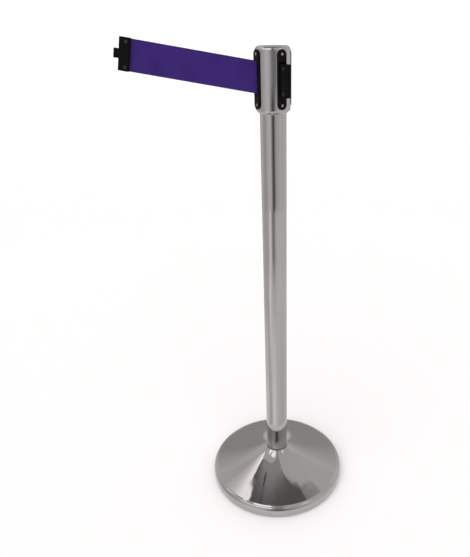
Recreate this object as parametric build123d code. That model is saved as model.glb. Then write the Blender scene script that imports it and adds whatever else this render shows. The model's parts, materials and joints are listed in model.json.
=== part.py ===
from build123d import *
import math
import os

# Retractable belt stanchion, in millimetres.  The origin is the centre of the underside, +Z is up,
# the belt leaves the head through the -X port, and +X, +Y and -Y each carry a belt receiver.

# overall
post_height = 1000.0
base_diameter = 320.0
tube_diameter = 50.0
tube_radius = tube_diameter / 2
tube_wall = 1.5
sheet_wall = 1.2

# base
pad_radius = 148.0
pad_thickness = 3.0
rim_z = (1.0, 10.0, 18.0, 28.0)      # foot of the rolled rim, its widest band, top of its shoulder
rim_foot_inset = 6.0
shoulder_inset = 7.0
cone_start = (150.0, 29.5)
cone_controls = ((105.0, 44.0), (50.0, 65.0))
cone_end = (28.0, 81.0)
rim_bulge = (1.7, 3.4)               # arc of the rim's foot, inward and upward
shoulder_bulge = (1.9, 3.6)          # arc of its shoulder, inward and downward
fit_gap = 0.1
weight_radius = 152.0
weight_thickness = 11.0
boss_radius = 32.0
boss_top = 71.0
rib_reach = 120.0
rib_half = 4.0
rib_count = 6
socket_floor = 40.0
plug_top = 68.0
bolt_radius = 6.0
bolt_z = (4.5, 12.0, 66.0)           # underside of its head, top of its head, tip
bolt_flats = 10.2
bolt_well = (15.0, 16.0)             # radius and height of the recess for the bolt's head
washer_radius = 13.0
washer_z = (13.95, 15.95)
lock_washer_radius = 10.0
lock_washer_z = (12.05, 13.9)

# head
head_radius = 32.4
neck_z = 883.0                       # lower edge of the head on the tube
neck_radius = 25.8
flare_radius = 28.8
tube_in_head = 6.0
spigot_wall = 4.0
spigot_foot_z = 846.0
neck_lip = (0.5, 0.6)
taper_bend = ((1.0, -2.4), (0.25, -0.7), (0.0, 1.5))
cap_gap = 0.2
pocket_reach = 20.0                  # the plates' openings in shell, cap and blocks start this far out
taper_top_z = 891.0
cap_seam_z = 989.0
cap_rounding = 8.0
housing_radius = 25.1
block_radius = 30.9                  # corner blocks that back the shell
spigot_radius = 29.9                 # their reduced tops, inside the cap's skirt
spigot_z = 983.0
core_z = (896.0, 990.0)              # the cassette's moulded drum housing
spool_bore = 20.4
bore_floor_z = 905.5
lid_top_z = 993.4
lid_screw_radius = 22.8
lid_screw_shank = 0.9
lid_screw_head = 1.6
lid_screw_z = (982.0, 993.5)         # point and seat
cap_cavity = ((30.0, 993.5), (26.5, 997.5))

# receivers and belt port: upright rounded plates let into the head
plate_width = 18.0
plate_length = 102.5
plate_centre_z = 943.75
plate_face = 35.0
plate_back = 25.3
plate_gap = 0.1
plate_screw_z = (900.5, 987.0)
plate_screw_radius = (23.0, 32.9)    # point and seat
screw_shank = 1.5
screw_head = 2.9
long_screw_z = (893.6, 990.7)
long_screw_radius = 27.55
long_screw_head = 2.2
slot_z = (934.7, 974.2)              # whole height of the T slot
window_z = 956.6                     # the wide window starts here and runs to the slot's top
slot_half = 2.5
channel_half = 6.5
channel_u = (26.8, 31.5)

# belt
belt_width = 55.0
belt_thickness = 0.4
belt_out = 224.0                     # clear belt between the port and its clip
belt_heading = 150.0                 # compass of the belt in the XY plane, degrees from +X
belt_rise = 10.0                     # degrees above level
belt_line_radius = 17.5             # distance from the spool's axis to the straight belt
wound_radius = 17.25
drum_radius = 8.5
port_belt_z = 948.5
passage_half = 2.6                   # half-widths of the belt's way out through housing and port
throat_half = 1.9
mouth_half = 4.2
mouth_depth = 1.6
belt_gap = (-31.0, 30.0)             # height of that way out about the belt's middle
pin_depth = 10.0                     # guide pins, inward from the port's face
pin_offset = 2.25
pin_radius = 1.4
pin_z = (906.0, 984.5)

# spool, spring and axle
flange_radius = 19.4
flange_thickness = 1.5
flange_holes = 6
flange_hole_place = 13.5
flange_hole_radius = 2.5
drum_bore = 3.6
bush_radius = 4.4
bush_length = 10.0
spool_z = (910.0, 974.2)
arbor_radius = 5.4
arbor_top = 988.0
axle_radius = 3.0
axle_top = 995.8
axle_head = (6.0, 3.0)               # radius and height
retaining_z = (993.5, 994.4)
retaining_radius = 5.5
retaining_mouth = 1.9
groove_radius = 2.4
brake_radius = 15.0
barrel_wall = 1.0
running_gap = 0.05
spring_turns = 7
spring_strip = 0.35
spring_inner = 6.2
spring_pitch = 1.75
spring_z = (976.4, 987.8)

# belt clip: two moulded halves, a T tongue and two rivets
clip_length = 20.0
clip_thickness = 12.0
clip_height = 56.0
tongue_neck = 2.1
tongue_head = 6.1
tongue_half_height = 8.0
tongue_reach = (4.4, 8.1)
tongue_root = ((-7.4, -4.6), 3.9)    # its reach into the clip, and half its width there
clip_corner = 3.0
clip_gap = 0.45
belt_grip = 7.0                      # the belt stops this far short of the clip's front
groove_z = (-8.1, -2.7, 2.7, 8.1)
rivet_head = 3.2
rivet_crown = 0.9
rivet_radius = 2.0
rivet_places = ((-13.0, 21.0), (-13.0, -21.0))
docked_gap = 0.3
docked_z = 943.0

PORT = 180.0
RECEIVERS = {"receiver_front": 270.0, "receiver_right": 0.0, "receiver_back": 90.0}
PLATES = (PORT, *RECEIVERS.values())
PLATE_SCREWS = [(angle, z) for angle in PLATES for z in plate_screw_z]
LID_SCREWS = (45.0, 165.0, 285.0)
CORNERS = (45.0, 135.0, 225.0, 315.0)

parts = {}


def turned(profile):
    """Turn a closed (radius, height) outline about the upright axis."""
    return revolve(Plane.XZ * make_face(profile), Axis.Z)


def ring(outer, inner, low, high):
    """An upright tube or washer."""
    solid = Pos(0, 0, low) * Cylinder(outer, high - low, align=(Align.CENTER, Align.CENTER, Align.MIN))
    if inner > 0:
        solid -= Pos(0, 0, low - 1) * Cylinder(
            inner, high - low + 2, align=(Align.CENTER, Align.CENTER, Align.MIN)
        )
    return solid


def box(x, y, z):
    """A box between two corners, given as three (low, high) pairs."""
    size = (x[1] - x[0], y[1] - y[0], z[1] - z[0])
    middle = ((x[0] + x[1]) / 2, (y[0] + y[1]) / 2, (z[0] + z[1]) / 2)
    return Pos(*middle) * Box(*size)


def capsule(low, high, grow=0.0):
    """The rounded plate outline, extruded outward from radius low to radius high along +X."""
    outline = SlotOverall(plate_length + 2 * grow, plate_width + 2 * grow, rotation=90)
    return extrude(Plane.YZ.offset(low) * Pos(0, plate_centre_z, 0) * outline, high - low)


def around(shape, angle):
    """Turn a shape about the upright axis."""
    return Rot(0, 0, angle) * shape


def plate_pockets(depth):
    """The four pockets that the receivers and the belt port sit in, from radius depth outward."""
    one = capsule(depth, plate_face + 5, plate_gap)
    pockets = one + around(one, 90) + around(one, 180) + around(one, 270)
    return pockets


def group(shapes):
    """Identical loose pieces kept together in one node."""
    return Compound([solid for shape in shapes for solid in shape.solids()])


# belt line: a straight run that leaves the wound belt as a tangent
heading = math.radians(belt_heading)
rise = math.radians(belt_rise)
level_dir = Vector(math.cos(heading), math.sin(heading), 0)
belt_dir = Vector(level_dir.X * math.cos(rise), level_dir.Y * math.cos(rise), math.sin(rise))
belt_up = Vector(-level_dir.X * math.sin(rise), -level_dir.Y * math.sin(rise), math.cos(rise))
side_dir = Vector(-level_dir.Y, level_dir.X, 0)
level_to_port = (-plate_face - side_dir.X * belt_line_radius) / level_dir.X
run_to_port = level_to_port / math.cos(rise)
tangent_point = Vector(
    side_dir.X * belt_line_radius,
    side_dir.Y * belt_line_radius,
    port_belt_z - level_to_port * math.tan(rise),
)


def on_belt(shape, along):
    """Place a shape made with +X along the belt and +Z across it, at a distance from the spool."""
    place = Plane(origin=tangent_point + belt_dir * along, x_dir=belt_dir, z_dir=belt_up)
    return place.location * shape


def base_parts():
    """Floor pad, cast weight, spun cover and the bolt that pulls the post down."""
    rim = base_diameter / 2

    def bell(inset):
        """Outline of the cover, moved in by inset."""
        foot = (rim - rim_foot_inset - inset, rim_z[0])
        band_low = (rim - inset, rim_z[1])
        band_high = (rim - inset, rim_z[2])
        shoulder = (rim - shoulder_inset - inset * 0.5, rim_z[3] - inset)
        start = (cone_start[0] - inset * 0.3, cone_start[1] - inset)
        controls = [(r, z - inset) for r, z in cone_controls]
        end = (cone_end[0], cone_end[1] - inset)
        foot_arc = (rim - rim_bulge[0] - inset, rim_z[0] + rim_bulge[1])
        crown_arc = (rim - shoulder_bulge[0] - inset * 0.8, rim_z[3] - shoulder_bulge[1] - inset * 0.6)
        chain = [
            ThreePointArc(foot, foot_arc, band_low),
            Line(band_low, band_high),
            ThreePointArc(band_high, crown_arc, shoulder),
            Line(shoulder, start),
            Bezier(start, *controls, end),
            Line(end, (0, end[1])),
            Line((0, end[1]), (0, rim_z[0])),
            Line((0, rim_z[0]), foot),
        ]
        return turned(Wire(chain))

    cover = bell(0) - bell(sheet_wall)
    cover -= ring(tube_radius + fit_gap, 0, 0, post_height)
    cover += ring(cone_end[0], tube_radius + fit_gap, cone_end[1] - sheet_wall, cone_end[1])
    parts["base_cover"] = cover

    parts["floor_pad"] = ring(pad_radius, 0, 0, pad_thickness)

    low = pad_thickness + 2 * fit_gap
    weight = ring(weight_radius, 0, low, low + weight_thickness)
    weight = chamfer(weight.edges().sort_by(Axis.Z)[-1], 2.0)
    weight += ring(boss_radius, 0, low, boss_top)
    for k in range(rib_count):
        rib = box((boss_radius - 4, rib_reach), (-rib_half, rib_half), (low + 5, low + weight_thickness + 6))
        weight += around(rib, 360 / rib_count * k)
    weight -= ring(tube_radius + fit_gap, 0, socket_floor, boss_top + 5)
    weight -= ring(bolt_radius + 0.5, 0, 0, socket_floor + 5)
    weight -= ring(bolt_well[0], 0, 0, bolt_well[1])
    parts["base_weight"] = weight

    head = extrude(Pos(0, 0, bolt_z[0]) * RegularPolygon(bolt_flats, 6), bolt_z[1] - bolt_z[0])
    head = chamfer(head.edges().group_by(Axis.Z)[0], 0.8)
    parts["base_bolt"] = head + ring(bolt_radius, 0, bolt_z[1], bolt_z[2])
    split = box((bolt_radius, lock_washer_radius + 1), (-1, 1), (bolt_z[1], washer_z[0]))
    parts["base_lock_washer"] = ring(lock_washer_radius, bolt_radius + 0.3, *lock_washer_z) - split
    parts["base_washer"] = ring(washer_radius, bolt_radius + 0.3, *washer_z)


def post_parts():
    """Upright tube with its threaded foot plug and the adapter that carries the head."""
    bore = tube_radius - tube_wall
    tube_top = neck_z + tube_in_head
    parts["post_tube"] = ring(tube_radius, bore, socket_floor, tube_top)

    plug = ring(bore, bolt_radius, socket_floor, plug_top)
    parts["tube_foot_plug"] = chamfer(plug.edges().sort_by(Axis.Z)[-1], 1.0)

    spigot = ring(bore, bore - spigot_wall, spigot_foot_z, tube_top + 0.5)
    flare = turned(
        Polyline(
            (0, tube_top + fit_gap),
            (neck_radius - 0.6, tube_top + fit_gap),
            (flare_radius, core_z[0] - 1.2),
            (flare_radius, core_z[0] - fit_gap),
            (0, core_z[0] - fit_gap),
            close=True,
        )
    )
    adapter = spigot + flare
    adapter -= ring(axle_head[0] + 1.5, 0, core_z[0] - axle_head[1] - 2, core_z[0] + 1)
    adapter -= plate_pockets(plate_back - fit_gap)
    for angle in CORNERS:
        adapter -= around(Pos(long_screw_radius, 0, 0) * ring(screw_shank, 0, *long_screw_z), angle)
    parts["head_adapter"] = adapter


def head_skin():
    """Polished head shell and its pressed cap."""
    r = head_radius
    bend, crest, upright = [(r - inward, taper_top_z + up) for inward, up in taper_bend]
    lip = (neck_radius - neck_lip[0], neck_z)
    edge = (neck_radius, neck_z + neck_lip[1])
    bore = tube_radius + fit_gap
    inside = r - sheet_wall
    chain = [
        Line((bore, neck_z), lip),
        Line(lip, edge),
        Line(edge, bend),
        ThreePointArc(bend, crest, upright),
        Line(upright, (r, cap_seam_z)),
        Line((r, cap_seam_z), (inside, cap_seam_z)),
        Line((inside, cap_seam_z), (inside, taper_top_z + sheet_wall)),
        Line((inside, taper_top_z + sheet_wall), (bore, neck_z + 2.2)),
        Line((bore, neck_z + 2.2), (bore, neck_z)),
    ]
    parts["head_shell"] = turned(Wire(chain)) - plate_pockets(pocket_reach)

    low = cap_seam_z + cap_gap
    cap = ring(r, 0, low, post_height)
    cap = fillet(cap.edges().sort_by(Axis.Z)[-1], cap_rounding)
    cap += ring(inside - running_gap, 0, spigot_z + 0.3, low)
    for radius, top in cap_cavity:
        cap -= ring(radius, 0, spigot_z - 1, top)
    cap -= plate_pockets(pocket_reach)
    parts["head_cap"] = cap


def cassette_parts():
    """Drum housing of the head, its lid, the corner blocks round it, and the screws and pins."""
    core = ring(housing_radius, 0, *core_z)
    core -= ring(spool_bore, 0, bore_floor_z, core_z[1] + 1)
    core -= ring(axle_radius, 0, core_z[0] - 1, bore_floor_z + 1)
    passage = box((0, run_to_port + 1), (-passage_half, passage_half), belt_gap)
    core -= on_belt(passage, 0)
    lid_hole = Pos(lid_screw_radius, 0, 0) * ring(lid_screw_shank, 0, *lid_screw_z)
    plate_hole = Rot(0, 90, 0) * ring(screw_shank, 0, spool_bore - 1, plate_back)
    for angle, z in PLATE_SCREWS:
        core -= around(Pos(0, 0, z) * plate_hole, angle)
    for side in (-1, 1):
        core -= guide_pin(side)
    for angle in LID_SCREWS:
        core -= around(lid_hole, angle)
    parts["cassette_core"] = core

    inner = housing_radius + fit_gap
    block_top = long_screw_z[1] - fit_gap
    blocks = ring(block_radius, inner, core_z[0], spigot_z) + ring(spigot_radius, inner, spigot_z, block_top)
    blocks -= plate_pockets(pocket_reach)
    for angle in CORNERS:
        blocks -= around(Pos(long_screw_radius, 0, 0) * ring(screw_shank, 0, *long_screw_z), angle)
    parts["corner_blocks"] = group([blocks])

    lid = ring(housing_radius, axle_radius, core_z[1] + fit_gap, lid_top_z)
    lid = chamfer(lid.edges().sort_by(Axis.Z)[-2:], 0.4)
    for angle in LID_SCREWS:
        lid -= around(lid_hole, angle)
    parts["cassette_lid"] = lid

    long_screw = upright_screw(screw_shank, *long_screw_z, long_screw_head, 2.0)
    long_screw = Pos(long_screw_radius, 0, 0) * long_screw
    parts["cassette_screws"] = group([around(long_screw, angle) for angle in CORNERS])
    lid_screw = upright_screw(lid_screw_shank, *lid_screw_z, lid_screw_head, 1.0)
    lid_screw = Pos(lid_screw_radius, 0, 0) * lid_screw
    parts["lid_screws"] = group([around(lid_screw, angle) for angle in LID_SCREWS])
    parts["guide_pins"] = group([guide_pin(side) for side in (-1, 1)])
    short = Rot(0, 90, 0) * upright_screw(screw_shank, *plate_screw_radius, screw_head, 2.2)
    parts["plate_screws"] = group([around(Pos(0, 0, z) * short, angle) for angle, z in PLATE_SCREWS])


def upright_screw(shank, low, seat, head, crown):
    """A cross-head screw: shank up to its seat, then a domed head of height crown."""
    dome = ring(head, 0, seat, seat + crown)
    dome = fillet(dome.edges().sort_by(Axis.Z)[-1], crown * 0.6)
    cross = box((-head * 0.6, head * 0.6), (-head * 0.13, head * 0.13), (seat + crown * 0.45, seat + 9))
    dome -= cross + around(cross, 90)
    return dome + ring(shank, 0, low, seat)


def guide_pin(side):
    """One of the two pins that the belt runs between, just inside the port."""
    spot = tangent_point + level_dir * (level_to_port - pin_depth) + side_dir * (side * pin_offset)
    return Pos(spot.X, spot.Y, 0) * ring(pin_radius, 0, *pin_z)


def plate_body():
    """Rounded plate with its two screw holes and a softened front edge, on the +X side."""
    plate = capsule(plate_back, plate_face)
    plate = fillet(plate.faces().sort_by(Axis.X)[-1].edges(), 1.4)
    for z in plate_screw_z:
        hole = ring(screw_shank + fit_gap, 0, plate_back - 5, plate_face + 5)
        hole += ring(screw_head + 0.3, 0, plate_screw_radius[1] - fit_gap, plate_face + 5)
        plate -= Pos(0, 0, z) * Rot(0, 90, 0) * hole
    return plate


def receiver_parts():
    """Three belt receivers: a T slot with a wide window at its top."""
    plate = plate_body()
    plate -= box(channel_u, (-channel_half, channel_half), slot_z)
    through = (channel_u[0], plate_face + 5)
    plate -= box(through, (-slot_half, slot_half), slot_z)
    window = box(through, (-channel_half, channel_half), (window_z, slot_z[1]))
    plate -= fillet(window.edges().filter_by(Axis.X), 1.5)
    for name, angle in RECEIVERS.items():
        parts[name] = around(plate, angle)

    guide = around(plate_body(), PORT)
    throat = box((0, run_to_port + 12), (-throat_half, throat_half), belt_gap)
    guide -= on_belt(throat, 0)
    mouth = box((-mouth_depth, 5), (-mouth_half, mouth_half), belt_gap)
    mouth = chamfer(mouth.faces().sort_by(Axis.X)[0].edges().filter_by(Axis.Z), 1.5)
    guide -= Pos(-plate_face, 0, port_belt_z) * Rot(0, 0, 180) * mouth
    for side in (-1, 1):
        guide -= guide_pin(side)
    parts["belt_port"] = guide


def spool_parts():
    """Drum, wound belt, bushes, axle, mainspring and what holds them."""
    low, high = spool_z
    bush_low = (low, low + bush_length)
    bush_high = (arbor_top - bush_length, arbor_top)
    drum = ring(drum_radius, drum_bore, low, high)
    drum += ring(flange_radius, drum_bore, low, low + flange_thickness)
    drum += ring(flange_radius, drum_bore, high - flange_thickness, high)
    drum += ring(arbor_radius, drum_bore, high, arbor_top)
    drum -= ring(bush_radius, 0, *bush_low) + ring(bush_radius, 0, *bush_high)
    hole = Pos(flange_hole_place, 0, 0) * ring(flange_hole_radius, 0, low - 1, low + flange_thickness + 0.2)
    for k in range(flange_holes):
        drum -= around(hole, 360 / flange_holes * k)
    parts["spool_drum"] = drum
    parts["lower_bush"] = ring(bush_radius, axle_radius + running_gap, *bush_low)
    parts["upper_bush"] = ring(bush_radius, axle_radius + running_gap, *bush_high)

    wound_low = (low + high) / 2 - belt_width / 2
    parts["wound_belt"] = ring(wound_radius, drum_radius, wound_low, wound_low + belt_width)

    head_radius_low, head_height = axle_head
    axle = ring(axle_radius, 0, core_z[0] - fit_gap, axle_top)
    axle += ring(head_radius_low, 0, core_z[0] - head_height, core_z[0])
    low_groove, high_groove = retaining_z[0] - running_gap, retaining_z[1] + running_gap
    axle -= ring(axle_radius + 1, groove_radius, low_groove, high_groove)
    parts["spool_axle"] = axle
    mouth = box((0, retaining_radius + 1), (-retaining_mouth, retaining_mouth), (core_z[1], axle_top))
    parts["axle_retaining_ring"] = ring(retaining_radius, groove_radius, *retaining_z) - mouth
    parts["brake_washer"] = ring(brake_radius, axle_radius + 0.3, bore_floor_z, low - 0.35)

    floor = high + 0.6
    barrel = ring(spool_bore - running_gap, 0, floor, core_z[1])
    barrel -= ring(spool_bore - barrel_wall, 0, floor + barrel_wall, core_z[1] + 1)
    barrel -= ring(arbor_radius + 0.5, 0, floor - 1, floor + 2)
    parts["spring_barrel"] = barrel
    parts["mainspring"] = spiral_strip()


def spiral_strip():
    """Flat spiral spring, made of half turns whose radius grows by half the pitch each."""
    half = spring_pitch / 2
    ends = []
    for k in range(2 * spring_turns + 1):
        sign = 1 if k % 2 == 0 else -1
        ends.append(sign * (spring_inner + half * k + (half / 2 if k % 2 else 0)))
    inner, outer = [], []
    for k in range(2 * spring_turns):
        start, stop = ends[k], ends[k + 1]
        middle, radius = (start + stop) / 2, abs(stop - start) / 2
        side = 1 if k % 2 == 0 else -1
        grow = spring_strip
        inner.append(ThreePointArc((start, 0), (middle, side * radius), (stop, 0)))
        more = grow if start > 0 else -grow
        start_out, stop_out = start + more, stop - more
        outer.append(
            ThreePointArc((start_out, 0), (middle, side * (radius + grow)), (stop_out, 0))
        )
    caps = [Line(inner[0] @ 0, outer[0] @ 0), Line(inner[-1] @ 1, outer[-1] @ 1)]
    strip = make_face(Wire(inner + outer + caps))
    return extrude(Pos(0, 0, spring_z[0]) * strip, spring_z[1] - spring_z[0])


def clip_pieces():
    """One belt clip with its tongue pointing along +X and the belt side at -X."""
    length, half, tall = clip_length, clip_thickness / 2, clip_height / 2
    block = box((-length, 0), (-half, half), (-tall, tall))
    upright = (-tongue_half_height, tongue_half_height)
    root_x, root_y = tongue_root
    block = fillet(block.edges().filter_by(Axis.Z), clip_corner)
    block = fillet(block.faces().filter_by(Axis.Z).edges(), 1.2)
    block -= box((-length - 1, -belt_grip), (-clip_gap, clip_gap), (-tall - 1, tall + 1))
    block -= box((root_x[0] - fit_gap, 1), (-tongue_neck, tongue_neck), upright)
    block -= box((root_x[0] - fit_gap, root_x[1] + fit_gap), (-root_y - fit_gap, root_y + fit_gap), upright)
    for x, z in rivet_places:
        block -= Pos(x, 0, z) * Rot(90, 0, 0) * Cylinder(rivet_radius, 2 * clip_thickness)
    for z in groove_z:
        for side in (-1, 1):
            block -= Pos(root_x[0] + 1, side * (half + 0.5), z) * Rot(0, 90, 0) * Cylinder(1.0, 7)
    front = block & box((-2 * length, length), (0, length), (-tall, tall))
    back = block & box((-2 * length, length), (-length, -0.001), (-tall, tall))
    neck = box((root_x[0], tongue_reach[1]), (-tongue_neck, tongue_neck), upright)
    root = box(root_x, (-root_y, root_y), upright)
    head = box(tongue_reach, (-tongue_head, tongue_head), upright)
    head = fillet(head.edges().filter_by(Axis.X), 1.2)
    tongue = neck + root + head
    cap = ring(rivet_head, 0, half, half + rivet_crown)
    cap = fillet(cap.edges().sort_by(Axis.Z)[-1], 0.8 * rivet_crown)
    pin = ring(rivet_radius, 0, -half, half) + cap + Rot(180, 0, 0) * cap
    rivets = [Pos(x, 0, z) * Rot(90, 0, 0) * pin for x, z in rivet_places]
    return {"front": front, "back": back, "tongue": tongue, "rivets": group(rivets)}


def belt_parts():
    """The drawn-out belt with its clip, and the clip that is docked in the front receiver."""
    clip_at = run_to_port + belt_out + clip_length
    end = clip_at - belt_grip - 2
    run = box((1, end), (-belt_thickness / 2, belt_thickness / 2), (-belt_width / 2, belt_width / 2))
    for x, z in rivet_places:
        run -= Pos(clip_at + x, 0, z) * Rot(90, 0, 0) * Cylinder(rivet_radius, clip_thickness)
    parts["belt_run"] = on_belt(run, 0)
    for name, shape in clip_pieces().items():
        parts["belt_clip_" + name] = on_belt(shape, clip_at)

    dock = Pos(0, -(plate_face + docked_gap), docked_z) * Rot(0, 0, 90)
    for name, shape in clip_pieces().items():
        parts["docked_clip_" + name] = dock * shape


base_parts()
post_parts()
head_skin()
cassette_parts()
receiver_parts()
spool_parts()
belt_parts()

for name, shape in parts.items():
    export_step(shape, f"parts/{name}.step")
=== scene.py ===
import json
import math

import bmesh
import bpy
from mathutils import Matrix, Vector


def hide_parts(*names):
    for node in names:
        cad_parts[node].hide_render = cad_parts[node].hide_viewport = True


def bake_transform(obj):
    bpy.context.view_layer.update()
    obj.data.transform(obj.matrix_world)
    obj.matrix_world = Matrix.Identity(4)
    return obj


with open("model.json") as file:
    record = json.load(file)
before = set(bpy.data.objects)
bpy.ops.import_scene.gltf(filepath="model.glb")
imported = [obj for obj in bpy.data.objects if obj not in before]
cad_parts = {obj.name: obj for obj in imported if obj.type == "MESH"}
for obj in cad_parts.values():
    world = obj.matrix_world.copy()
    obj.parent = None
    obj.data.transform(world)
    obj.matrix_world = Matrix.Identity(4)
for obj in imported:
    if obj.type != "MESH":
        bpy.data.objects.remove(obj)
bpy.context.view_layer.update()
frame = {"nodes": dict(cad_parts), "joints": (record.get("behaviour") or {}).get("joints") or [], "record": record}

# Metres, in the frame's own axes: +Z up the post, the belt leaves the head towards -X and slants upwards.

# the belt's own directions, read from the joint that it slides on
JOINTS = {joint["name"]: joint for joint in frame["joints"]}
BELT_DIR = Vector(JOINTS["belt_pull"]["axis"]).normalized()
BELT_SIDE = Vector((0, 0, 1)).cross(BELT_DIR).normalized()
BELT_UP = BELT_DIR.cross(BELT_SIDE).normalized()

# camera: on the -Y side, turned about 30 degrees towards the belt
CAMERA_TURN = math.radians(-29.8)
CAMERA_BACK = 1.0498
CAMERA_HEIGHT = 1.0430
CAMERA_PITCH = math.radians(25.63)
CAMERA_ROLL = math.radians(-0.66)
CAMERA_LENS = 35.02  # millimetres, as is the sensor
CAMERA_SENSOR = 36
CAMERA_SHIFT = -0.072


# ---------------------------------------------------------------- shader helpers


def new_material(name, colour, roughness, metallic=0.0, specular=0.5):
    """A Principled material and its tree."""
    made = bpy.data.materials.new(name)
    made.use_nodes = True
    tree = made.node_tree
    shader = tree.nodes["Principled BSDF"]
    shader.inputs["Base Color"].default_value = (*colour, 1)
    shader.inputs["Roughness"].default_value = roughness
    shader.inputs["Metallic"].default_value = metallic
    shader.inputs["Specular IOR Level"].default_value = specular
    return made, tree, shader


def place(tree):
    """Coordinates fixed to the piece, in metres."""
    return tree.nodes.new("ShaderNodeTexCoord").outputs["Object"]


def noise(tree, scale, detail, where=None, stretch=None):
    """Noise over the piece, scale features to a metre; stretch scales the axes apart."""
    at = where or place(tree)
    if stretch:
        mapping = tree.nodes.new("ShaderNodeMapping")
        mapping.inputs["Scale"].default_value = stretch
        tree.links.new(at, mapping.inputs["Vector"])
        at = mapping.outputs["Vector"]
    grain = tree.nodes.new("ShaderNodeTexNoise")
    grain.inputs["Scale"].default_value = scale
    grain.inputs["Detail"].default_value = detail
    tree.links.new(at, grain.inputs["Vector"])
    return grain.outputs["Fac"]


def gloss(tree, shader, value, low, high):
    """Roughness that runs from low to high as the value goes from 0.25 to 0.75."""
    scaled = tree.nodes.new("ShaderNodeMapRange")
    scaled.inputs["From Min"].default_value = 0.25
    scaled.inputs["From Max"].default_value = 0.75
    scaled.inputs["To Min"].default_value = low
    scaled.inputs["To Max"].default_value = high
    tree.links.new(value, scaled.inputs["Value"])
    tree.links.new(scaled.outputs["Result"], shader.inputs["Roughness"])


def tint(tree, shader, value, first, second):
    """Base colour that runs from first to second as the value goes from 0.3 to 0.7."""
    ramp = tree.nodes.new("ShaderNodeValToRGB")
    start, end = ramp.color_ramp.elements
    start.position = 0.3
    start.color = (*first, 1)
    end.position = 0.7
    end.color = (*second, 1)
    tree.links.new(value, ramp.inputs["Fac"])
    tree.links.new(ramp.outputs["Color"], shader.inputs["Base Color"])


def math_node(tree, operation, first, second=None, third=None):
    """One arithmetic node on values or sockets."""
    made = tree.nodes.new("ShaderNodeMath")
    made.operation = operation
    for slot, value in zip(made.inputs, (first, second, third)):
        if value is None:
            continue
        if isinstance(value, (int, float)):
            slot.default_value = value
        else:
            tree.links.new(value, slot)
    return made.outputs[0]


def along(tree, direction, where=None):
    """How far a place lies along a fixed direction."""
    dot = tree.nodes.new("ShaderNodeVectorMath")
    dot.operation = "DOT_PRODUCT"
    dot.inputs[1].default_value = direction
    tree.links.new(where or place(tree), dot.inputs[0])
    return dot.outputs["Value"]


def bump(tree, shader, height, depth, strength):
    """Surface relief of the given depth in metres."""
    relief = tree.nodes.new("ShaderNodeBump")
    relief.inputs["Strength"].default_value = strength
    relief.inputs["Distance"].default_value = depth
    tree.links.new(height, relief.inputs["Height"])
    tree.links.new(relief.outputs["Normal"], shader.inputs["Normal"])


# ---------------------------------------------------------------- materials


def chrome_material():
    """Mirror-polished steel with faint waviness and polishing haze."""
    made, tree, shader = new_material("polished_chrome", (0.445, 0.429, 0.421), 0.05, metallic=1.0)
    haze = noise(tree, scale=9, detail=2)
    brushed = noise(tree, scale=60, detail=5, stretch=(1, 1, 0.15))
    tint(tree, shader, haze, (0.428, 0.415, 0.413), (0.454, 0.44, 0.438))
    gloss(tree, shader, brushed, 0.035, 0.085)
    bump(tree, shader, noise(tree, scale=14, detail=1), depth=0.0006, strength=0.25)
    return made


def plated_material():
    """Nickel-plated screw heads."""
    made, tree, shader = new_material("nickel_plating", (0.36, 0.35, 0.34), 0.22, metallic=1.0)
    worn = noise(tree, scale=900, detail=3)
    tint(tree, shader, noise(tree, scale=300, detail=2), (0.31, 0.3, 0.295), (0.42, 0.41, 0.4))
    gloss(tree, shader, worn, 0.12, 0.32)
    bump(tree, shader, worn, depth=0.00003, strength=0.5)
    return made


def black_steel_material():
    """Black-coated rivets with a slight sheen on their crowns."""
    made, tree, shader = new_material("black_coating", (0.012, 0.012, 0.013), 0.35, specular=0.3)
    worn = noise(tree, scale=700, detail=3)
    tint(tree, shader, worn, (0.008, 0.008, 0.009), (0.02, 0.02, 0.02))
    gloss(tree, shader, worn, 0.28, 0.45)
    bump(tree, shader, worn, depth=0.00002, strength=0.5)
    return made


def zinc_material():
    """Zinc-plated steel with a faint spangle."""
    made, tree, shader = new_material("zinc_plate", (0.5, 0.51, 0.53), 0.35, metallic=1.0)
    cells = tree.nodes.new("ShaderNodeTexVoronoi")
    cells.inputs["Scale"].default_value = 350
    tree.links.new(place(tree), cells.inputs["Vector"])
    tint(tree, shader, cells.outputs["Distance"], (0.44, 0.45, 0.48), (0.6, 0.6, 0.6))
    gloss(tree, shader, noise(tree, scale=500, detail=3), 0.25, 0.45)
    return made


def spring_material():
    """Blued spring strip."""
    made, tree, shader = new_material("blued_strip", (0.2, 0.23, 0.32), 0.3, metallic=1.0)
    tint(tree, shader, noise(tree, scale=120, detail=3), (0.16, 0.19, 0.3), (0.3, 0.3, 0.34))
    return made


def cast_material():
    """Rough sand-cast iron."""
    made, tree, shader = new_material("cast_iron", (0.07, 0.07, 0.075), 0.75, metallic=0.6)
    grit = noise(tree, scale=420, detail=6)
    tint(tree, shader, noise(tree, scale=40, detail=4), (0.045, 0.045, 0.05), (0.1, 0.095, 0.09))
    gloss(tree, shader, grit, 0.6, 0.9)
    bump(tree, shader, grit, depth=0.0006, strength=0.8)
    return made


RIB_WAVES = 1400.0  # radians of the pad's rib wave to a metre, which is a rib every 4.5 mm


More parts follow.
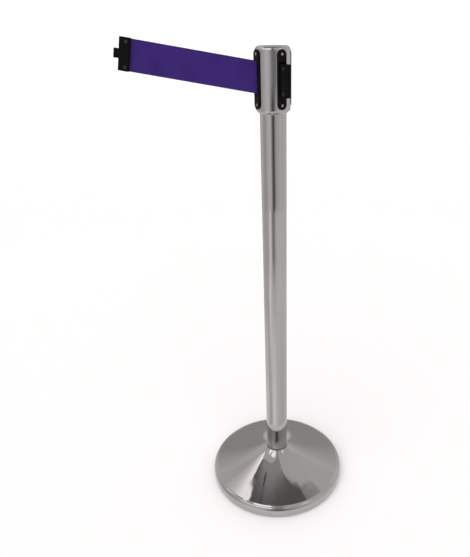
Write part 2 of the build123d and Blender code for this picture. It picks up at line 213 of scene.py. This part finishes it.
def rubber_material():
    """Matte black rubber with concentric grip ribs."""
    made, tree, shader = new_material("rubber_pad", (0.02, 0.02, 0.02), 0.82, specular=0.3)
    flat = tree.nodes.new("ShaderNodeVectorMath")
    flat.operation = "MULTIPLY"
    flat.inputs[1].default_value = (1, 1, 0)
    tree.links.new(place(tree), flat.inputs[0])
    reach = tree.nodes.new("ShaderNodeVectorMath")
    reach.operation = "LENGTH"
    tree.links.new(flat.outputs[0], reach.inputs[0])
    ribs = math_node(tree, "SINE", math_node(tree, "MULTIPLY", reach.outputs["Value"], RIB_WAVES))
    bump(tree, shader, ribs, depth=0.0004, strength=0.7)
    tint(tree, shader, noise(tree, scale=90, detail=4), (0.014, 0.014, 0.014), (0.03, 0.03, 0.029))
    return made


def plastic_material(name, dark, light, rough_low, rough_high):
    """Moulded plastic with a fine spark-eroded grain."""
    made, tree, shader = new_material(name, dark, rough_low, specular=0.07)
    tint(tree, shader, noise(tree, scale=55, detail=3), dark, light)
    gloss(tree, shader, noise(tree, scale=130, detail=4), rough_low, rough_high)
    bump(tree, shader, noise(tree, scale=2600, detail=3), depth=0.00006, strength=0.6)
    return made


def bronze_material():
    """Oil-filled sintered bronze."""
    made, tree, shader = new_material("sintered_bronze", (0.5, 0.32, 0.15), 0.45, metallic=1.0)
    pores = noise(tree, scale=2500, detail=4)
    tint(tree, shader, pores, (0.34, 0.21, 0.1), (0.6, 0.4, 0.2))
    bump(tree, shader, pores, depth=0.00005, strength=0.6)
    return made


def felt_material():
    """Pressed grey felt."""
    made, tree, shader = new_material("pressed_felt", (0.35, 0.33, 0.3), 0.95, specular=0.2)
    fibres = noise(tree, scale=1500, detail=6, stretch=(1, 1, 3))
    tint(tree, shader, fibres, (0.24, 0.22, 0.2), (0.46, 0.44, 0.4))
    shader.inputs["Sheen Weight"].default_value = 0.4
    bump(tree, shader, fibres, depth=0.0002, strength=0.8)
    return made


WARP_PITCH = 0.0011
WEFT_PITCH = WARP_PITCH * 1.6
WARP_RELIEF = 0.55  # shares of the weave's relief
WEFT_RELIEF = 0.45
FUZZ_RELIEF = 0.5


def webbing_material():
    """Purple-blue woven webbing: warp ridges along the belt, weft dashes between them, a little fuzz."""
    made, tree, shader = new_material("belt_webbing", (0.03, 0.01, 0.12), 0.7, specular=0.12)
    at = place(tree)
    length = along(tree, BELT_DIR, at)
    across = along(tree, BELT_UP, at)
    turn = 2 * math.pi
    warp = math_node(tree, "SINE", math_node(tree, "MULTIPLY", across, turn / WARP_PITCH))
    # every second warp thread shows its weft dashes half a wave later
    thread = math_node(tree, "FLOOR", math_node(tree, "DIVIDE", across, WARP_PITCH))
    odd = math_node(tree, "PINGPONG", thread, 1.0)
    shift = math_node(tree, "MULTIPLY", odd, math.pi)
    weft_at = math_node(tree, "ADD", math_node(tree, "MULTIPLY", length, turn / WEFT_PITCH), shift)
    weft = math_node(tree, "SINE", weft_at)
    weave = math_node(tree, "MULTIPLY_ADD", warp, WARP_RELIEF, math_node(tree, "MULTIPLY", weft, WEFT_RELIEF))
    fuzz = noise(tree, scale=4200, detail=2, where=at)
    height = math_node(tree, "ADD", weave, math_node(tree, "MULTIPLY", fuzz, FUZZ_RELIEF))
    bump(tree, shader, height, depth=0.00012, strength=0.75)
    # raised threads are painted paler and the dips between them darker, a painted highlight and shade of the
    # weave; the dye is also slightly uneven
    thread_painted_light = math_node(tree, "MULTIPLY_ADD", height, 0.22, 0.5)
    slow = noise(tree, scale=28, detail=3, where=at)
    dye_and_painted_light = math_node(tree, "ADD", thread_painted_light, math_node(tree, "MULTIPLY_ADD", slow, 0.5, -0.25))
    tint(tree, shader, dye_and_painted_light, (0.022, 0.006, 0.096), (0.037, 0.0135, 0.148))
    shader.inputs["Sheen Weight"].default_value = 0.08
    shader.inputs["Sheen Roughness"].default_value = 0.45
    shader.inputs["Sheen Tint"].default_value = (0.5, 0.42, 0.8, 1)
    return made


BLACK_DARK, BLACK_LIGHT = (0.0025, 0.0022, 0.0024), (0.0048, 0.0043, 0.0046)
ACETAL_DARK, ACETAL_LIGHT = (0.004, 0.004, 0.004), (0.008, 0.008, 0.008)
NYLON_DARK, NYLON_LIGHT = (0.66, 0.64, 0.58), (0.74, 0.72, 0.67)

MATERIALS = {
    "chrome": chrome_material(),
    "screw_steel": plated_material(),
    "black_steel": black_steel_material(),
    "zinc_steel": zinc_material(),
    "spring_steel": spring_material(),
    "cast_iron": cast_material(),
    "rubber": rubber_material(),
    "black_plastic": plastic_material("black_moulding", BLACK_DARK, BLACK_LIGHT, 0.42, 0.56),
    "tongue_plastic": plastic_material("black_acetal", ACETAL_DARK, ACETAL_LIGHT, 0.24, 0.36),
    "drum_plastic": plastic_material("natural_nylon", NYLON_DARK, NYLON_LIGHT, 0.35, 0.5),
    "bronze": bronze_material(),
    "felt": felt_material(),
    "belt_fabric": webbing_material(),
}


def dress_cad_nodes():
    """Give every CAD node the material of its record slot."""
    slots = {part["node"]: part["material_slot"] for part in frame["record"]["subparts"]}
    for name, item in frame["nodes"].items():
        item.data.materials.clear()
        item.data.materials.append(MATERIALS[slots[name]])


dress_cad_nodes()


# ---------------------------------------------------------------- belt

BELT_STEP = 0.003  # along the belt, from ring to ring
BELT_BEAD = 0.0022  # width of the thicker woven edge
BEAD_CREST = BELT_BEAD * 0.6  # its thickest row, from the border
BEAD_FOOT = BELT_BEAD * 0.7  # where it is down to the plain weave
BEAD_THICK = 1.35
BORDER_ROUND = 0.0004  # width of the rounded-off border
BORDER_ROW = 0.0001  # rows nearer than this to the border are the border itself
BORDER_THIN = 0.35
FLAT_STRIPS = 14  # between the two woven edges


def span(points, centre, direction):
    """Lowest and highest reach of the points from a centre, along a direction."""
    reach = [(point - centre).dot(direction) for point in points]
    return min(reach), max(reach)


def belt_rows(half):
    """Places across the belt, closer together at its woven edges."""
    edge = [-half, -half + BORDER_ROUND, -half + BEAD_CREST, -half + BELT_BEAD]
    flat = [-half + BELT_BEAD + (2 * half - 2 * BELT_BEAD) * k / FLAT_STRIPS for k in range(1, FLAT_STRIPS)]
    return edge + flat + [-v for v in reversed(edge)]


def belt_depth(v, half, thick):
    """Half thickness at a place across: thin at the border, thicker along the woven edge."""
    inwards = half - abs(v)
    if inwards < BORDER_ROW:
        return thick * BORDER_THIN
    if inwards < BEAD_FOOT:
        return thick * BEAD_THICK
    return thick


def belt_strip():
    """The drawn-out webbing: a flat strip with thicker woven edges, from the drum to inside the clip."""
    node = frame["nodes"]["belt_run"]
    points = [v.co.copy() for v in node.data.vertices]
    centre = sum(points, Vector()) / len(points)
    start, end = span(points, centre, BELT_DIR)
    bottom, top = span(points, centre, BELT_UP)
    inside, outside = span(points, centre, BELT_SIDE)
    middle, half = (top + bottom) / 2, (top - bottom) / 2
    off, thick = (outside + inside) / 2, (outside - inside) / 2
    columns = int((end - start) / BELT_STEP)
    rows = belt_rows(half)

    work = bmesh.new()
    rings = []
    for k in range(columns + 1):
        at = start + (end - start) * k / columns
        ring = []
        for face, ordered in ((1, rows), (-1, rows[::-1])):
            for v in ordered:
                spot = centre + BELT_DIR * at + BELT_UP * (middle + v)
                ring.append(work.verts.new(spot + BELT_SIDE * (off + face * belt_depth(v, half, thick))))
        rings.append(ring)
    count = len(rings[0])
    for first, second in zip(rings, rings[1:]):
        for k in range(count):
            after = (k + 1) % count
            work.faces.new((first[k], first[after], second[after], second[k]))
    work.faces.new(rings[0])
    work.faces.new(list(reversed(rings[-1])))
    bmesh.ops.recalc_face_normals(work, faces=work.faces)
    mesh = bpy.data.meshes.new("belt_webbing")
    work.to_mesh(mesh)
    work.free()
    for face in mesh.polygons:
        face.use_smooth = len(face.vertices) == 4
    strip = bpy.data.objects.new("belt_webbing", mesh)
    bpy.context.scene.collection.objects.link(strip)
    strip.data.materials.append(MATERIALS["belt_fabric"])
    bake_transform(strip)
    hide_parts("belt_run")


belt_strip()


# ---------------------------------------------------------------- studio

# floor that sweeps up behind the object
FLOOR_REACH = 9.0
SWEEP_RADIUS = 3.0
SWEEP_STEPS = 16
SWEEP_TOP = 7.0
FLOOR_TINT = (0.86, 0.86, 0.86)

# soft light from all round, and from a broad sun that heads this way in studio directions
SKY_TINT = (0.72, 0.705, 0.7, 1)
SUN_HEADING = (0.25, 0.75, -1.0)
SUN_SPREAD = math.radians(70)

# a ring of walls, a floor and a ceiling that only mirror reflections see
MIRROR_REACH = 2.1
MIRROR_HOLE = 0.2
MIRROR_FLOOR = 0.004  # just above the real floor
RING_STEPS = 96
WALL_TOP = 1.85
CEILING = 3.0
TONE_TOP = 2.5  # no tone below is brighter
MIRROR_TINT = (1.0, 0.975, 0.965)

# tones of the walls' lower and upper half, and of three bands of the floor, by compass:
# degrees from the camera's side, plus to its right
WALL_LEFT = (
    (-180, 0.42), (-148, 0.48), (-132, 0.8), (-125, 0.8), (-100, 0.65), (-80, 0.55), (-60, 0.70),
    (-43, 0.86), (-25, 0.80),
)
WALL_RIGHT = ((45, 0.73), (60, 0.80), (90, 0.75), (120, 0.85), (135, 0.75), (150, 0.5), (180, 0.42))
WALL_LOW = (*WALL_LEFT, (-16, 0.45), (-7, 0.16), (0, 0.09), (8, 0.27), (20, 0.62), *WALL_RIGHT)
WALL_HIGH = (*WALL_LEFT, (-14, 0.56), (-3, 0.33), (8, 0.28), (20, 0.34), (32, 0.62), *WALL_RIGHT)
FLOOR_FAR = (
    (-180, 0.6), (-128, 0.78), (-97, 0.61), (-74, 0.72), (-63, 0.64), (-52, 0.85), (-43, 1.24), (-34, 0.98),
    (-24, 0.63), (-16, 0.33), (-7, 0.36), (2, 0.47), (10, 0.69), (20, 0.81), (60, 0.85), (120, 0.8),
    (180, 0.6),
)
FLOOR_MIDDLE = (
    (-180, 0.7), (-110, 0.75), (-77, 0.68), (-65, 0.85), (-50, 1.3), (-36, 0.85), (0, 0.78), (20, 0.88),
    (120, 0.85), (180, 0.7),
)
FLOOR_NEAR = (
    (-180, 0.8), (-92, 1.02), (-69, 0.71), (-60, 0.68), (-50, 0.76), (-40, 0.96), (-31, 1.13), (-13, 1.13),
    (-5, 1.06), (5, 0.92), (13, 0.84), (31, 0.82), (60, 0.76), (180, 0.8),
)

# heights and distances where one set of tones gives way to the next
WALL_CHANGE = (0.62, 0.74)
NEAR_CHANGE = (0.3, 0.95)
FAR_CHANGE = (1.0, 1.4)

# outlines of the ceiling's panels, to the right and away, and their tones by distance away;
# the opening and the window meet at the sill
SILL = ((-0.98, 0.44), (-1.09, 0.45), (-1.37, 0.6), (-1.5, 0.59), (-1.85, 0.57))
OPENING = (
    (-0.98, 1.0), *SILL, (-1.7, 0.35), (-1.38, 0.08), (-0.9, -0.14), (-0.5, -0.3), (-0.15, -0.5),
    (-0.12, -2.9), (0.15, -2.9), (0.3, -0.5), (0.36, -0.2), (0.45, -0.05), (0.6, 0.09), (0.78, 0.2),
    (1.0, 0.33), (1.03, 1.0),
)
OPENING_TONES = (
    (-2.9, 0.04), (-1.9, 0.04), (-1.5, 0.48), (-0.15, 0.45), (0.0, 0.3), (0.06, 0.21), (0.12, 0.16),
    (1.0, 0.13),
)
WINDOW = ((-0.98, 1.5), *SILL, (-2.6, 0.75), (-2.6, 1.5))
WINDOW_TONES = ((0.2, 1.9), (0.45, 1.7), (0.55, 1.4), (0.7, 1.1), (0.95, 0.85), (1.6, 0.78))
SIDE_PANEL = ((1.0, 0.36), (1.27, 0.56), (1.6, 0.88), (1.6, 1.0), (1.03, 1.0))
SIDE_TONES = ((0.3, 0.34), (0.58, 0.42), (1.0, 0.5))
FRONT_LIGHT = ((-1.15, -0.42), (-0.45, -0.56), (-0.3, -0.75), (-0.3, -1.25), (-1.25, -1.1))
FRONT_TONES = ((-1.3, 1.4), (-0.8, 1.8), (-0.4, 2.0))

# panels of the ceiling: name, outline, lean of the tones over the left half, tones
CEILING_PANELS = (
    ("ceiling_opening", OPENING, 0.28, OPENING_TONES),
    ("ceiling_window", WINDOW, 0.19, WINDOW_TONES),
    ("ceiling_side", SIDE_PANEL, 0.0, SIDE_TONES),
    ("ceiling_front_light", FRONT_LIGHT, 0.0, FRONT_TONES),
)

# curved panels above the walls: name, first and last compass angle, distance, top, tone
CURVED_PANELS = (
    ("left_softbox", -84, -12, 1.55, 2.95, 1.9),
    ("right_softbox", 58, 72, 1.4, 2.95, 1.6),
    ("doorway_top", -9, 11, 1.9, 2.98, 0.1),
)
CURVE_STEPS = 12
PANEL_FOOT = 0.7  # share of a curved panel's tone that its lower edge has
PANEL_HEAD = 0.8


def stage_mesh(name, corners, faces, colour):
    """A matte stage piece, with its material's tree and shader."""
    mesh = bpy.data.meshes.new(name)
    mesh.from_pydata(corners, [], faces)
    item = bpy.data.objects.new(name, mesh)
    bpy.context.scene.collection.objects.link(item)
    made, tree, shader = new_material(name, colour, 0.9, specular=0.1)
    item.data.materials.append(made)
    return item, tree, shader


def turned(x, y, z):
    """A studio place given from the camera: x to its right, y away from it, z up."""
    c, s = math.cos(CAMERA_TURN), math.sin(CAMERA_TURN)
    return (c * x - s * y, s * x + c * y, z)


def floor_and_back():
    """Pale floor that sweeps up far behind the object."""
    rows = [(-FLOOR_REACH, 0.0), (FLOOR_REACH, 0.0)]
    for k in range(1, SWEEP_STEPS + 1):
        a = math.pi / 2 * k / SWEEP_STEPS
        rows.append((FLOOR_REACH + SWEEP_RADIUS * math.sin(a), SWEEP_RADIUS * (1 - math.cos(a))))
    rows.append((FLOOR_REACH + SWEEP_RADIUS, SWEEP_TOP))
    corners, faces = [], []
    for y, z in rows:
        corners += [turned(-FLOOR_REACH, y, z), turned(FLOOR_REACH, y, z)]
    for k in range(len(rows) - 1):
        faces.append((2 * k, 2 * k + 1, 2 * k + 3, 2 * k + 2))
    sweep, _, _ = stage_mesh("studio_floor", corners, faces, FLOOR_TINT)
    for face in sweep.data.polygons:
        face.use_smooth = True


def hidden_stage(name, corners, faces):
    """A glowing stage piece that only mirror reflections see, its corners in studio directions."""
    item, tree, shader = stage_mesh(name, [turned(*p) for p in corners], faces, MIRROR_TINT)
    shader.inputs["Base Color"].default_value = (0, 0, 0, 1)
    shader.inputs["Emission Color"].default_value = (*MIRROR_TINT, 1)
    item.visible_camera = False
    item.visible_diffuse = False
    item.visible_shadow = False
    item.visible_transmission = False
    return tree, shader


def tone_curve(tree, value, stops):
    """The tone at a value, in straight lines between (value, tone) stops."""
    low, high = stops[0][0], stops[-1][0]
    scaled = tree.nodes.new("ShaderNodeMapRange")
    scaled.inputs["From Min"].default_value = low
    scaled.inputs["From Max"].default_value = high
    tree.links.new(value, scaled.inputs["Value"])
    curve = tree.nodes.new("ShaderNodeFloatCurve")
    line = curve.mapping.curves[0]
    spots = [((at - low) / (high - low), tone / TONE_TOP) for at, tone in stops]
    line.points[0].location = spots[0]
    line.points[1].location = spots[-1]
    for spot in spots[1:-1]:
        line.points.new(*spot)
    for point in line.points:
        point.handle_type = "VECTOR"
    curve.mapping.update()
    tree.links.new(scaled.outputs["Result"], curve.inputs["Value"])
    return math_node(tree, "MULTIPLY", curve.outputs["Value"], TONE_TOP)


def studio_place(tree):
    """Position in studio directions (x right, y away), and its compass from the camera's side."""
    across = along(tree, turned(1, 0, 0))
    away = along(tree, turned(0, 1, 0))
    nearer = math_node(tree, "MULTIPLY", away, -1.0)
    compass = math_node(tree, "DEGREES", math_node(tree, "ARCTAN2", across, nearer))
    return across, away, compass


def mix(tree, share, first, second):
    """first where share is 0, second where it is 1."""
    made = tree.nodes.new("ShaderNodeMix")
    made.data_type = "FLOAT"
    for slot, value in ((0, share), (2, first), (3, second)):
        tree.links.new(value, made.inputs[slot])
    return made.outputs[0]


def change(tree, value, between, top):
    """A share that is 0 below the first of two values and 1 above the second."""
    return tone_curve(tree, value, ((0, 0), (between[0], 0), (between[1], 1), (top, 1)))


def height_of(tree):
    """Height above the floor."""
    return along(tree, (0, 0, 1))


def ring(low, high, far, near):
    """Corners and faces of a ring around the object, an upright wall or a flat band."""
    corners, faces = [], []
    for k in range(RING_STEPS):
        a = 2 * math.pi * k / RING_STEPS
        c, s = math.cos(a), math.sin(a)
        corners += [(far * c, far * s, low), (near * c, near * s, high)]
        after = 2 * ((k + 1) % RING_STEPS)
        faces.append((2 * k, after, after + 1, 2 * k + 1))
    return corners, faces


def mirrored_wall():
    """Upright surroundings: grey walls, a dark doorway towards the camera, paler above it."""
    tree, shader = hidden_stage("mirrored_wall", *ring(0.0, WALL_TOP, MIRROR_REACH, MIRROR_REACH))
    _, _, compass = studio_place(tree)
    lower = tone_curve(tree, compass, WALL_LOW)
    upper = tone_curve(tree, compass, WALL_HIGH)
    raised = change(tree, height_of(tree), WALL_CHANGE, WALL_TOP)
    tree.links.new(mix(tree, raised, lower, upper), shader.inputs["Emission Strength"])


def mirrored_floor():
    """Floor as the polished base mirrors it."""
    band = ring(MIRROR_FLOOR, MIRROR_FLOOR, MIRROR_REACH, MIRROR_HOLE)
    tree, shader = hidden_stage("mirrored_floor", *band)
    across, away, compass = studio_place(tree)
    squares = math_node(tree, "MULTIPLY_ADD", across, across, math_node(tree, "MULTIPLY", away, away))
    reach = math_node(tree, "SQRT", squares)
    near = tone_curve(tree, compass, FLOOR_NEAR)
    middle = tone_curve(tree, compass, FLOOR_MIDDLE)
    far = tone_curve(tree, compass, FLOOR_FAR)
    inner = mix(tree, change(tree, reach, NEAR_CHANGE, MIRROR_REACH), near, middle)
    tone = mix(tree, change(tree, reach, FAR_CHANGE, MIRROR_REACH), inner, far)
    tree.links.new(tone, shader.inputs["Emission Strength"])


def ceiling_panel(name, outline, lean, tones):
    """A panel overhead; its tone runs with the distance away, less lean times the distance to the left."""
    corners = [(x, y, CEILING) for x, y in outline]
    tree, shader = hidden_stage(name, corners, [tuple(range(len(corners)))])
    across, away, _ = studio_place(tree)
    left_only = math_node(tree, "MINIMUM", across, 0.0)
    at = math_node(tree, "MULTIPLY_ADD", left_only, lean, away)
    tree.links.new(tone_curve(tree, at, tones), shader.inputs["Emission Strength"])


def curved_panel(name, first, last, reach, top, tone):
    """A curved panel above the walls, between two compass angles, brightest at half its height."""
    corners, faces = [], []
    for k in range(CURVE_STEPS + 1):
        a = math.radians(first + (last - first) * k / CURVE_STEPS)
        corners += [(reach * math.sin(a), -reach * math.cos(a), z) for z in (WALL_TOP, top)]
    for k in range(CURVE_STEPS):
        faces.append((2 * k, 2 * k + 2, 2 * k + 3, 2 * k + 1))
    tree, shader = hidden_stage(name, corners, faces)
    tones = ((WALL_TOP, PANEL_FOOT * tone), ((WALL_TOP + top) / 2, tone), (top, PANEL_HEAD * tone))
    tree.links.new(tone_curve(tree, height_of(tree), tones), shader.inputs["Emission Strength"])


def daylight():
    """Grey world, and a broad sun that the chrome doesn't mirror."""
    world = bpy.data.worlds.new("studio_world")
    bpy.context.scene.world = world
    world.use_nodes = True
    back = world.node_tree.nodes["Background"]
    back.inputs["Color"].default_value = SKY_TINT
    back.inputs["Strength"].default_value = 1.0
    sun = bpy.data.lights.new("soft_key", "SUN")
    sun.energy = 1.75
    sun.angle = SUN_SPREAD
    lamp = bpy.data.objects.new("soft_key", sun)
    bpy.context.scene.collection.objects.link(lamp)
    lamp.rotation_euler = Vector(turned(*SUN_HEADING)).to_track_quat("-Z", "Y").to_euler()
    lamp.visible_glossy = False


def studio():
    """Floor and light, and the surroundings that the chrome mirrors."""
    daylight()
    floor_and_back()
    mirrored_wall()
    mirrored_floor()
    for panel in CEILING_PANELS:
        ceiling_panel(*panel)
    for panel in CURVED_PANELS:
        curved_panel(*panel)


def camera():
    """The camera, a little above the head and looking down to the base."""
    data = bpy.data.cameras.new("camera")
    data.sensor_width = CAMERA_SENSOR
    data.lens = CAMERA_LENS
    data.shift_x = CAMERA_SHIFT
    data.clip_start, data.clip_end = 0.05, 60
    item = bpy.data.objects.new("camera", data)
    bpy.context.scene.collection.objects.link(item)
    forward = Vector((0, math.cos(CAMERA_PITCH), -math.sin(CAMERA_PITCH)))
    right = Vector((1, 0, 0))
    up = right.cross(forward)
    c, s = math.cos(CAMERA_ROLL), math.sin(CAMERA_ROLL)
    right, up = right * c + up * s, up * c - right * s
    axes = [Vector(turned(*v)) for v in (right, up, -forward)]
    turn = Matrix(axes).transposed().to_4x4()
    item.matrix_world = Matrix.Translation(turned(0, -CAMERA_BACK, CAMERA_HEIGHT)) @ turn
    bpy.context.scene.camera = item


studio()
camera()
bpy.context.scene.view_settings.view_transform = "Standard"
